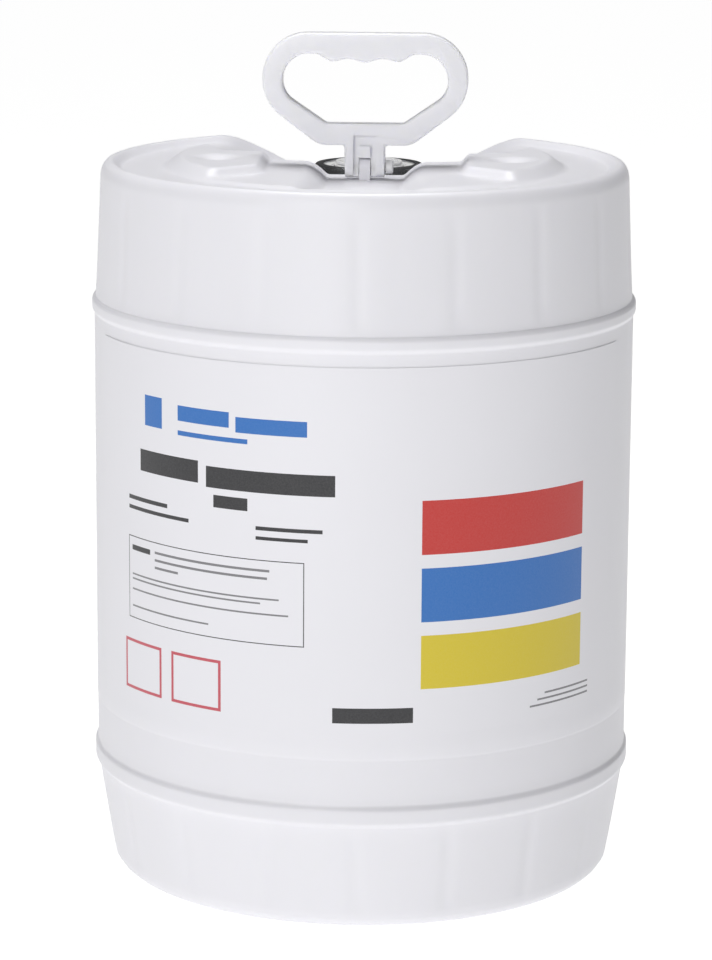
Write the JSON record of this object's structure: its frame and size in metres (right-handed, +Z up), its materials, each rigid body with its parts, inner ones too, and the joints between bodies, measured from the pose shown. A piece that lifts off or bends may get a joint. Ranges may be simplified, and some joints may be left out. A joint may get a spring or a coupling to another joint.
{
  "type": "tight-head drum",
  "caption": "White blow-moulded tight-head drum with hoops, a folding moulded carry handle and a metal-ringed pull-up pour spout under a screw cap.",
  "frame": {"origin": "middle of the foot ring on the floor, under the drum's axis", "axes": "+Z up along the drum's axis, -Y towards the label, +Y towards the pour spout, +X to the right of someone facing the label"},
  "size_m": [0.2906, 0.2906, 0.4498],
  "materials": {
    "shell": "semi-matt blow-moulded high-density polyethylene, opaque white, with fine flow and parting lines",
    "label": "thin satin white film printed with plain bars, outlined boxes and flat colour panels",
    "handle": "translucent natural polyethylene, injection moulded, slightly waxy",
    "pin": "white polypropylene pin, smooth",
    "ring": "bright zinc-plated steel crimp ring with rolled edges",
    "spout": "soft low-density polyethylene, white, satin",
    "seal": "thin moulded low-density polyethylene membrane",
    "liner": "white foamed polyethylene disc",
    "cap": "white polyethylene cap with a ribbed skirt",
    "bail": "white polyethylene pull bail, smooth"
  },
  "bodies": {
    "drum": {"drum_shell": "shell", "handle_pin": "pin", "crimp_ring": "ring", "spout_flange": "spout", "spout_bellows": "spout", "label_film": "label"},
    "handle": {"carry_handle": "handle"},
    "spout": {"spout_nozzle": "spout", "tear_out_seal": "seal"},
    "liner": {"cap_liner": "liner"},
    "cap": {"screw_cap": "cap"},
    "bail_rear": {"pull_bail_rear": "bail"},
    "bail_front": {"pull_bail_front": "bail"}
  },
  "joints": [
    {"name": "handle_fold", "type": "hinge", "parent": "drum", "child": "handle", "pos_m": [0, 0, 0.3788], "axis": [1, 0, 0], "range_deg": [0, 65]},
    {"name": "spout_pull", "type": "slide", "parent": "drum", "child": "spout", "axis": [0, 0, 1], "range_m": [0, 0.034], "deforming": ["spout_bellows"]},
    {"name": "cap_lift", "type": "slide", "parent": "spout", "child": "liner", "axis": [0, 0, 1], "range_m": [0, 0.0071]},
    {"name": "cap_turn", "type": "hinge", "parent": "liner", "child": "cap", "pos_m": [0, 0.064, 0.37], "axis": [0, 0, 1], "range_deg": [0, 720]},
    {"name": "bail_rear_lift", "type": "hinge", "parent": "cap", "child": "bail_rear", "pos_m": [0, 0.0653, 0.3736], "axis": [1, 0, 0], "range_deg": [0, 88]},
    {"name": "bail_front_lift", "type": "hinge", "parent": "cap", "child": "bail_front", "pos_m": [0, 0.0627, 0.3736], "axis": [-1, 0, 0], "range_deg": [0, 88]}
  ],
  "couplings": [
    {"joint": "cap_lift", "follows": "cap_turn", "m_per_rad": 0.00055704}
  ]
}
